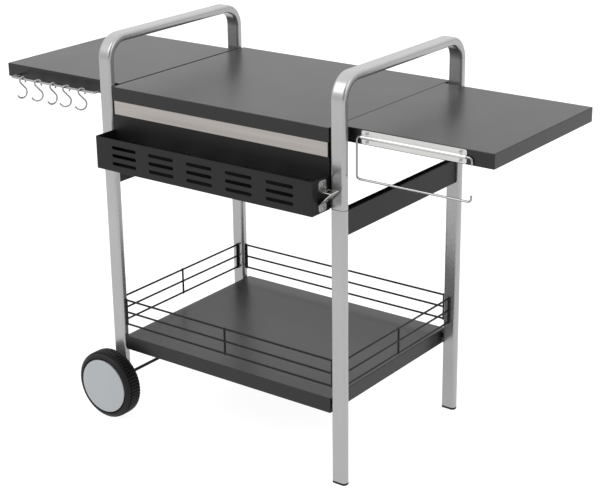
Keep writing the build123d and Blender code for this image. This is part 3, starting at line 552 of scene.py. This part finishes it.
@dataclass
class RollingGear(SubAssembly):
    """The axle and the two wheels, lengths in millimetres."""

    turns: int = 64
    shoulder: float = 12.0
    tread_depth: float = 2.4
    block_gap: float = 1.6
    tread_rows: int = 3
    shoulder_steps: int = 6
    block_steps: int = 2
    cap_groove: float = 4.0
    groove_depth: float = 7.0
    tread_reach: float = 0.9
    sharp_edge: float = 35.0
    ends: dict[str, int] = field(default_factory=lambda: {"front": -1, "back": 1})

    def build(self) -> None:
        """Dress the axle, the hubs and the caps, and model the tyres."""
        self.dress(BLACK_WIRE_COAT, ("axle",))
        self.dress(BLACK_MOULDING, ("axle_bushes", "front_hub", "back_hub"))
        self.dress(ZINC_PLATE, ("axle_washers", "push_nuts"))
        for end, sign in self.ends.items():
            tyre = self.tyre(end, sign)
            self.place(tyre, f"{end}_wheel", "tyre_rubber", TYRE_RUBBER, f"{end}_tyre")
        self.dress(GREY_MOULDING, ("front_hub_cap", "back_hub_cap"))

    def tyre(self, end: str, sign: int) -> bpy.types.Object:
        """Model a tyre with a blocked tread: a profile spun about the axle, its tread faces inset.

        Args:
            end: Which wheel, front or back.
            sign: The wheel's side along Y.

        Returns:
            The tyre.
        """
        low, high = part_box(f"{end}_tyre")
        cap_low, cap_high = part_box(f"{end}_hub_cap")
        hub_low, hub_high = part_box(f"{end}_hub")
        centre = (low + high) / 2
        radius = (high.z - low.z) / 2
        cap_edge = (cap_high.z - cap_low.z) / 2
        bore = (hub_high.z - hub_low.z) / 2
        inner, outer = sorted((abs(low.y), abs(high.y)))
        cap_seat = max(abs(hub_low.y), abs(hub_high.y))
        profile = self.tyre_profile(radius, bore, cap_edge, inner, outer, cap_seat)
        clear_selection()
        bpy.ops.mesh.primitive_circle_add(vertices=len(profile), radius=radius)
        tyre = bpy.context.object
        for vertex, (reach, across) in zip(tyre.data.vertices, profile):
            vertex.co = (centre.x + reach, sign * across, centre.z)
        bpy.ops.object.mode_set(mode="EDIT")
        bpy.ops.mesh.select_all(action="SELECT")
        axle = (centre.x, 0, centre.z)
        bpy.ops.mesh.spin(steps=self.turns, angle=math.tau, center=axle, axis=(0, 1, 0))
        close_up(tyre)
        floor = radius - self.tread_depth * MM
        self.cut_blocks(tyre, Vector(axle), floor)
        bpy.ops.object.mode_set(mode="OBJECT")
        tyre.name = tyre.data.name = f"{end}_tyre_treaded"
        apply_place(tyre)
        shade(tyre, self.sharp_edge)
        return tyre

    def tyre_profile(
        self,
        radius: float,
        bore: float,
        cap_edge: float,
        inner: float,
        outer: float,
        cap_seat: float,
    ) -> list[tuple[float, float]]:
        """Draw the tyre's section as radius and distance along the axle, all in metres.

        Args:
            radius: The tyre's outer radius.
            bore: Its inner radius.
            cap_edge: The cap's radius, with a groove round it.
            inner: Its inner side, from the table's middle.
            outer: Its outer side.
            cap_seat: The step that the cap lies on.

        Returns:
            The section's corners, in order.
        """
        shoulder = self.shoulder * MM
        depth = self.tread_depth * MM
        steps = self.shoulder_steps
        middle = radius - shoulder
        round_radius = shoulder - depth
        angles = [math.radians(90 * step / steps) for step in range(steps + 1)]
        rising = [
            (middle + round_radius * math.sin(a), inner + shoulder - shoulder * math.cos(a))
            for a in angles
        ]
        falling = [
            (middle + round_radius * math.cos(a), outer - shoulder + shoulder * math.sin(a))
            for a in angles
        ]
        width = outer - inner - 2 * shoulder
        rows = [
            (radius - depth, inner + shoulder + width * row / self.tread_rows)
            for row in range(1, self.tread_rows)
        ]
        groove_floor = cap_seat - self.groove_depth * MM
        groove_edge = cap_edge + self.cap_groove * MM
        groove = [(groove_edge, outer), (groove_edge, groove_floor), (cap_edge, groove_floor)]
        steps_in = [(cap_edge, cap_seat), (bore, cap_seat), (bore, inner)]
        return rising + rows + falling + groove + steps_in

    def cut_blocks(self, tyre: bpy.types.Object, axle: Vector, floor: float) -> None:
        """Raise a block on each face of the tread, in edit mode.

        Args:
            tyre: The spun tyre.
            axle: A point on the axle.
            floor: The radius of the tread's floor.
        """
        edge = math.cos(math.radians(90 * self.block_steps / self.shoulder_steps))

        def on_tread(middle: Vector, normal: Vector) -> bool:
            """Say whether a face lies on the tread or high on a shoulder.

            Args:
                middle: The face's middle.
                normal: Its normal.

            Returns:
                True if a block is raised on it.
            """
            spoke = Vector((middle.x - axle.x, 0, middle.z - axle.z))
            far_out = spoke.length > self.tread_reach * floor
            return far_out and normal.dot(spoke.normalized()) > edge

        select_faces(tyre, on_tread)
        gap = self.block_gap * MM
        bpy.ops.mesh.inset(use_individual=True, thickness=gap, depth=self.tread_depth * MM)


class Drive(Enum):
    """The recess that a tool turns a fastener by."""

    CROSS = "a cross recess"
    HEX = "a hexagon socket"


@dataclass(frozen=True)
class Fastener:
    """One kind of screw or bolt, in millimetres."""

    drive: Drive
    head_height: float
    shank_radius: float
    recess: float
    recess_depth: float
    edge_round: float


@dataclass
class Fasteners(SubAssembly):
    """Bolts and screws, each with its drive recess, lengths in millimetres."""

    screw: Fastener = Fastener(
        Drive.CROSS,
        head_height=1.9,
        shank_radius=2.0,
        recess=2.1,
        recess_depth=1.1,
        edge_round=0.9,
    )
    bolt: Fastener = Fastener(
        Drive.HEX,
        head_height=4.0,
        shank_radius=3.0,
        recess=2.9,
        recess_depth=2.2,
        edge_round=0.7,
    )
    sides: int = 36
    cross_arm: float = 0.9
    round_steps: int = 4
    sharp_edge: float = 40.0

    def build(self) -> None:
        """Model the fasteners that stand for each CAD node."""
        for node in ("frame_screws", "opener_screws", "plate_screws"):
            self.place(self.rebuild(node, self.screw), "frame", "zinc", ZINC_PLATE, node)
        rack = self.rebuild("rack_screws", self.screw)
        self.place(rack, "frame", "black_steel", BLACK_COAT, "rack_screws")
        for node in ("wing_bolts", "apron_bolts", "shelf_bolts"):
            self.place(self.rebuild(node, self.bolt), "frame", "zinc", ZINC_PLATE, node)

    def rebuild(self, node: str, kind: Fastener) -> bpy.types.Object:
        """Model one fastener for each solid of a CAD node.

        Args:
            node: The CAD node.
            kind: The kind of fastener.

        Returns:
            All of the node's fasteners as one piece.
        """
        masters: dict[tuple[int, int], bpy.types.Object] = {}
        copies = []
        for points in solids(self.nodes[node]):
            low = Vector(min(p[axis] for p in points) for axis in range(3))
            high = Vector(max(p[axis] for p in points) for axis in range(3))
            size = high - low
            axis = max(range(3), key=lambda place: size[place])
            radius = size[(axis + 1) % 3] / 2
            length = size[axis] - kind.head_height * MM
            key = (round(radius / SAME), round(length / SAME))
            if key not in masters:
                masters[key] = self.model(kind, radius, length)
            heading = self.head_side(points, low, high, axis)
            seat = (low + high) / 2
            seat[axis] = (high if heading[axis] > 0 else low)[axis]
            seat -= heading * kind.head_height * MM
            copies.append(self.copy_to(masters[key], seat, heading))
        for master in masters.values():
            bpy.data.objects.remove(master)
        return join_as(copies, f"{node}_recessed")

    def head_side(self, points: list[Vector], low: Vector, high: Vector, axis: int) -> Vector:
        """Find which way a fastener's head faces: the end that is wider.

        Args:
            points: The solid's corners.
            low: Its lowest corner.
            high: Its highest corner.
            axis: The axis it lies along.

        Returns:
            The direction from its thread to its head.
        """
        centre = (low + high) / 2

        def width(end: float) -> float:
            """Measure how far the corners at one end stand from the axis.

            Args:
                end: The end's place along the axis.

            Returns:
                The largest distance.
            """
            near = [p - centre for p in points if abs(p[axis] - end) < SAME]
            for offset in near:
                offset[axis] = 0
            return max(offset.length for offset in near)

        heading = Vector((0, 0, 0))
        heading[axis] = 1 if width(high[axis]) > width(low[axis]) else -1
        return heading

    def model(self, kind: Fastener, radius: float, length: float) -> bpy.types.Object:
        """Model a fastener upright: a rounded head on the floor, its shank below, its recess cut.

        Args:
            kind: The kind of fastener.
            radius: The head's radius.
            length: The shank's length.

        Returns:
            The fastener.
        """
        height = kind.head_height * MM
        clear_selection()
        bpy.ops.mesh.primitive_cylinder_add(
            vertices=self.sides, radius=radius, depth=height, location=(0, 0, height / 2)
        )
        fastener = bpy.context.object
        apply_place(fastener)
        bpy.ops.object.mode_set(mode="EDIT")
        select_faces(fastener, lambda middle, normal: normal.z < -FACING)
        bpy.ops.mesh.inset(thickness=radius - kind.shank_radius * MM)
        bpy.ops.mesh.extrude_region_move(TRANSFORM_OT_translate={"value": (0, 0, -length)})
        select_faces(fastener, lambda middle, normal: normal.z > FACING)
        rounding = kind.edge_round * MM
        bpy.ops.mesh.bevel(offset=rounding, segments=self.round_steps, affect="EDGES")
        bpy.ops.object.mode_set(mode="OBJECT")
        cutter = self.cutter(kind, height)
        cut = fastener.modifiers.new("drive", "BOOLEAN")
        cut.operation = "DIFFERENCE"
        cut.object = cutter
        apply_modifier(fastener, cut)
        bpy.data.objects.remove(cutter)
        shade(fastener, self.sharp_edge)
        return fastener

    def cutter(self, kind: Fastener, height: float) -> bpy.types.Object:
        """Model the shape of the drive recess.

        Args:
            kind: The kind of fastener.
            height: The height of the head's top.

        Returns:
            The cutter, standing in the head.
        """
        place = (0, 0, height)
        tall = 2 * kind.recess_depth * MM
        clear_selection()
        if kind.drive is Drive.HEX:
            bpy.ops.mesh.primitive_cylinder_add(
                vertices=HEXAGON, radius=kind.recess * MM, depth=tall, location=place
            )
            apply_place(bpy.context.object)
            return bpy.context.object
        arm = self.cross_arm * MM
        bpy.ops.mesh.primitive_cube_add(size=1, location=place, scale=(arm, arm, tall))
        cutter = bpy.context.object
        apply_place(cutter)
        bpy.ops.object.mode_set(mode="EDIT")
        select_faces(cutter, lambda middle, normal: abs(normal.z) < FACING)
        reach = kind.recess * MM - arm / 2
        bpy.ops.mesh.extrude_faces_move(TRANSFORM_OT_shrink_fatten={"value": reach})
        bpy.ops.object.mode_set(mode="OBJECT")
        return cutter

    def copy_to(self, master: bpy.types.Object, seat: Vector, heading: Vector) -> bpy.types.Object:
        """Copy a fastener with its own mesh and stand it on its seat.

        Args:
            master: The modelled fastener.
            seat: The middle of the head's underside.
            heading: The direction from its thread to its head.

        Returns:
            The copy.
        """
        twin = master.copy()
        twin.data = master.data.copy()
        bpy.context.scene.collection.objects.link(twin)
        turn = heading.to_track_quat("Z", "Y").to_matrix().to_4x4()
        twin.matrix_world = Matrix.Translation(seat) @ turn
        apply_place(twin)
        return twin


@dataclass(frozen=True)
class Softbox:
    """A square lamp: where it hangs, the point it faces, its side in metres and its power."""

    name: str
    place: tuple[float, float, float]
    target: tuple[float, float, float]
    size: float
    watts: float

    def hang(self) -> None:
        """Add the lamp to the scene."""
        lamp = bpy.data.lights.new(self.name, "AREA")
        lamp.size = self.size
        lamp.energy = self.watts
        holder = bpy.data.objects.new(self.name, lamp)
        holder.location = self.place
        heading = Vector(self.target) - Vector(self.place)
        holder.rotation_euler = heading.to_track_quat("-Z", "Y").to_euler()
        bpy.context.scene.collection.objects.link(holder)


@dataclass
class Studio:
    """A white sweep, soft light all round and the camera at the photograph's angle.

    Places are in metres, angles in degrees and the focal length in pixels of the photograph. The
    opening is the direction of the tent's dark side, and its edge runs between two cosines.
    """

    camera_place: tuple[float, float, float] = (2.1497, -2.8069, 1.7488)
    yaw: float = 36.83
    pitch: float = 20.32
    roll: float = -0.732
    focal_pixels: float = 1534.9
    image_width: int = 600
    sensor: float = 36.0
    floor_size: float = 30.0
    floor_colour: str = "#808080"
    floor_glow: float = 0.9
    floor_roughness: float = 0.9
    floor_specular: float = 0.1
    sky_high: float = 1.5
    sky_low: float = 0.85
    sky_rise: float = 0.6
    opening: tuple[float, float, float] = (0.55, -0.75, 0.36)
    opening_edge: tuple[float, float] = (0.8, 0.97)
    opening_dark: float = 0.2
    softboxes: tuple[Softbox, ...] = (
        Softbox("key_softbox", (-1.2, -2.6, 3.2), (0, 0, 0.6), size=2.4, watts=45.0),
        Softbox("side_softbox", (3.2, -0.6, 2.4), (0.2, 0, 0.6), size=2.0, watts=20.0),
    )

    def build(self) -> None:
        """Set the floor, the light and the camera."""
        bpy.context.scene.view_settings.view_transform = "Standard"
        self.lay_floor()
        self.light()
        self.aim_camera()

    def lay_floor(self) -> None:
        """Lay a white floor, lit through like a light table, so that shadows stay faint."""
        clear_selection()
        bpy.ops.mesh.primitive_plane_add(size=self.floor_size)
        floor = bpy.context.object
        floor.name = "studio_floor"
        material = bpy.data.materials.new("white_paper_sweep")
        material.use_nodes = True
        shader = material.node_tree.nodes["Principled BSDF"]
        shader.inputs["Base Color"].default_value = linear(self.floor_colour)
        shader.inputs["Roughness"].default_value = self.floor_roughness
        shader.inputs["Specular IOR Level"].default_value = self.floor_specular
        shader.inputs["Emission Color"].default_value = linear(WHITE)
        shader.inputs["Emission Strength"].default_value = self.floor_glow
        floor.data.materials.append(material)

    def light(self) -> None:
        """Light the table in a white tent that is open, and so darker, towards the front right."""
        world = bpy.data.worlds.new("white_tent")
        world.use_nodes = True
        tree = world.node_tree
        heading = add_node(tree, "ShaderNodeTexCoord", {}, {}).outputs["Generated"]
        height = add_node(tree, "ShaderNodeSeparateXYZ", {}, {"Vector": heading}).outputs["Z"]
        ends = {"Value": height, "From Max": self.sky_rise}
        ends |= {"To Min": self.sky_low, "To Max": self.sky_high}
        wall = add_node(tree, "ShaderNodeMapRange", {}, ends)
        facing = {0: heading, 1: self.opening}
        front = add_node(tree, "ShaderNodeVectorMath", {"operation": "DOT_PRODUCT"}, facing)
        near, far = self.opening_edge
        ends = {"Value": front.outputs["Value"], "From Min": near, "From Max": far}
        ends |= {"To Min": 1.0, "To Max": self.opening_dark}
        gap = add_node(tree, "ShaderNodeMapRange", {"interpolation_type": "SMOOTHSTEP"}, ends)
        sides = {0: wall.outputs[0], 1: gap.outputs[0]}
        glow = add_node(tree, "ShaderNodeMath", {"operation": "MULTIPLY"}, sides)
        backdrop = tree.nodes["Background"]
        backdrop.inputs["Color"].default_value = linear(WHITE)
        tree.links.new(glow.outputs[0], backdrop.inputs["Strength"])
        bpy.context.scene.world = world
        for softbox in self.softboxes:
            softbox.hang()

    def aim_camera(self) -> None:
        """Stand the camera where the photograph was taken from."""
        yaw, pitch, roll = (math.radians(angle) for angle in (self.yaw, self.pitch, self.roll))
        level = math.cos(pitch)
        ahead = Vector((-math.sin(yaw) * level, math.cos(yaw) * level, -math.sin(pitch)))
        right = Vector((math.cos(yaw), math.sin(yaw), 0))
        up = right.cross(ahead)
        across = right * math.cos(roll) + up * math.sin(roll)
        upright = up * math.cos(roll) - right * math.sin(roll)
        turn = Matrix((across, upright, -ahead)).transposed().to_4x4()
        lens = bpy.data.cameras.new("photo_camera")
        lens.sensor_fit = "HORIZONTAL"
        lens.sensor_width = self.sensor
        lens.lens = self.sensor * self.focal_pixels / self.image_width
        camera = bpy.data.objects.new("photo_camera", lens)
        camera.matrix_world = Matrix.Translation(self.camera_place) @ turn
        bpy.context.scene.collection.objects.link(camera)
        bpy.context.scene.camera = camera


def main() -> None:
    """Load the frame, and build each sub-assembly and the studio."""
    logging.basicConfig(level=logging.INFO, format="%(message)s")
    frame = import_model()
    nodes = frame["nodes"]
    for group in (SideFrames, Worktops, FrontFittings, LowerShelf, RollingGear, Fasteners):
        group(nodes).build()
        LOG.info("%s built", group.__name__)
    Studio().build()


if __name__ == "__main__":
    main()
